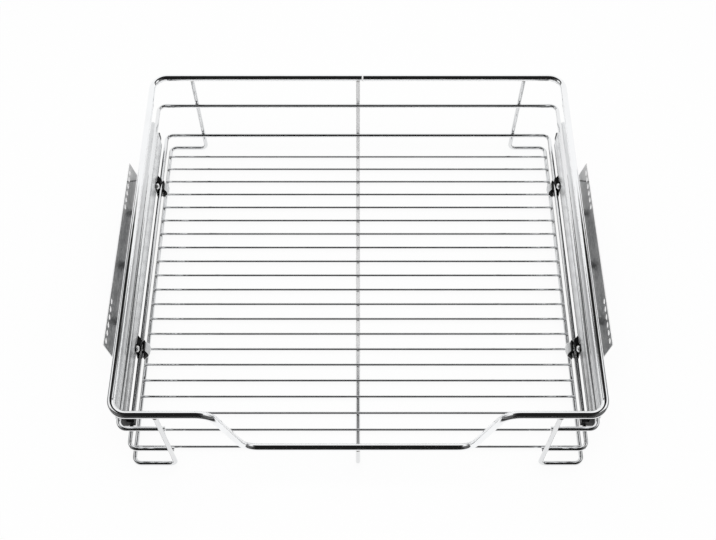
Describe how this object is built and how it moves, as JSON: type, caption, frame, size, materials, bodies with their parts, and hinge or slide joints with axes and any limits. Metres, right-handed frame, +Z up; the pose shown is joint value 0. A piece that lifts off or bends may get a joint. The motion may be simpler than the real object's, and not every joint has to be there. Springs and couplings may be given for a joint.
{
  "type": "pull-out cabinet basket",
  "caption": "Chromed wire basket that pulls out of a base cabinet on a pair of ball-bearing slides, with side plates that screw to the cabinet's walls.",
  "frame": {"origin": "under the middle of the closed basket, at the level of its lowest wires", "axes": "+X to the right seen from the front, +Y to the back of the cabinet, +Z up; the basket pulls out along -Y"},
  "size_m": [0.564, 0.455, 0.15],
  "materials": {
    "chrome_wire": "bright chrome plating over drawn steel wire",
    "slide_steel": "bright zinc plating over rolled strip, with fine lines along its length",
    "cage_steel": "zinc plating over thin strip",
    "ball_steel": "polished hardened steel",
    "bracket_steel": "dull zinc plating over sheet steel",
    "screw_steel": "bright zinc plating",
    "black_plastic": "moulded, fine satin"
  },
  "bodies": {
    "cabinet_side": {"left_bracket": "bracket_steel", "left_standoffs": "slide_steel", "left_cabinet_member": "slide_steel", "right_bracket": "bracket_steel", "right_standoffs": "slide_steel", "right_cabinet_member": "slide_steel"},
    "basket": {"rim": "chrome_wire", "mid_rail": "chrome_wire", "low_rail": "chrome_wire", "left_runner": "chrome_wire", "right_runner": "chrome_wire", "centre_wire": "chrome_wire", "floor_wire_01": "chrome_wire", "floor_wire_02": "chrome_wire", "floor_wire_03": "chrome_wire", "floor_wire_04": "chrome_wire", "floor_wire_05": "chrome_wire", "floor_wire_06": "chrome_wire", "floor_wire_07": "chrome_wire", "floor_wire_08": "chrome_wire", "floor_wire_09": "chrome_wire", "floor_wire_10": "chrome_wire", "floor_wire_11": "chrome_wire", "floor_wire_12": "chrome_wire", "floor_wire_13": "chrome_wire", "floor_wire_14": "chrome_wire", "floor_wire_15": "chrome_wire", "floor_wire_16": "chrome_wire", "floor_wire_17": "chrome_wire", "floor_wire_18": "chrome_wire", "floor_wire_19": "chrome_wire", "floor_wire_20": "chrome_wire", "floor_wire_21": "chrome_wire", "left_drawer_member": "slide_steel", "left_lugs": "slide_steel", "left_rear_clip": "black_plastic", "left_front_clip": "black_plastic", "left_clip_screws": "screw_steel", "left_nose": "black_plastic", "left_buffer": "black_plastic", "right_drawer_member": "slide_steel", "right_lugs": "slide_steel", "right_rear_clip": "black_plastic", "right_front_clip": "black_plastic", "right_clip_screws": "screw_steel", "right_nose": "black_plastic", "right_buffer": "black_plastic"},
    "left_middle": {"left_middle_member": "slide_steel"},
    "left_outer_carriage": {"left_outer_cage": "cage_steel", "left_outer_balls": "ball_steel"},
    "left_inner_carriage": {"left_inner_cage": "cage_steel", "left_inner_balls": "ball_steel"},
    "right_middle": {"right_middle_member": "slide_steel"},
    "right_outer_carriage": {"right_outer_cage": "cage_steel", "right_outer_balls": "ball_steel"},
    "right_inner_carriage": {"right_inner_cage": "cage_steel", "right_inner_balls": "ball_steel"}
  },
  "joints": [
    {"name": "basket_slide", "type": "slide", "parent": "cabinet_side", "child": "basket", "axis": [0, -1, 0], "range_m": [0, 0.4]},
    {"name": "left_middle_slide", "type": "slide", "parent": "cabinet_side", "child": "left_middle", "axis": [0, -1, 0], "range_m": [0, 0.2]},
    {"name": "left_outer_carriage_slide", "type": "slide", "parent": "cabinet_side", "child": "left_outer_carriage", "axis": [0, -1, 0], "range_m": [0, 0.1]},
    {"name": "left_inner_carriage_slide", "type": "slide", "parent": "cabinet_side", "child": "left_inner_carriage", "axis": [0, -1, 0], "range_m": [0, 0.3]},
    {"name": "right_middle_slide", "type": "slide", "parent": "cabinet_side", "child": "right_middle", "axis": [0, -1, 0], "range_m": [0, 0.2]},
    {"name": "right_outer_carriage_slide", "type": "slide", "parent": "cabinet_side", "child": "right_outer_carriage", "axis": [0, -1, 0], "range_m": [0, 0.1]},
    {"name": "right_inner_carriage_slide", "type": "slide", "parent": "cabinet_side", "child": "right_inner_carriage", "axis": [0, -1, 0], "range_m": [0, 0.3]}
  ],
  "couplings": [
    {"joint": "left_middle_slide", "follows": "basket_slide", "ratio": 0.5},
    {"joint": "left_outer_carriage_slide", "follows": "basket_slide", "ratio": 0.25},
    {"joint": "left_inner_carriage_slide", "follows": "basket_slide", "ratio": 0.75},
    {"joint": "right_middle_slide", "follows": "basket_slide", "ratio": 0.5},
    {"joint": "right_outer_carriage_slide", "follows": "basket_slide", "ratio": 0.25},
    {"joint": "right_inner_carriage_slide", "follows": "basket_slide", "ratio": 0.75}
  ]
}
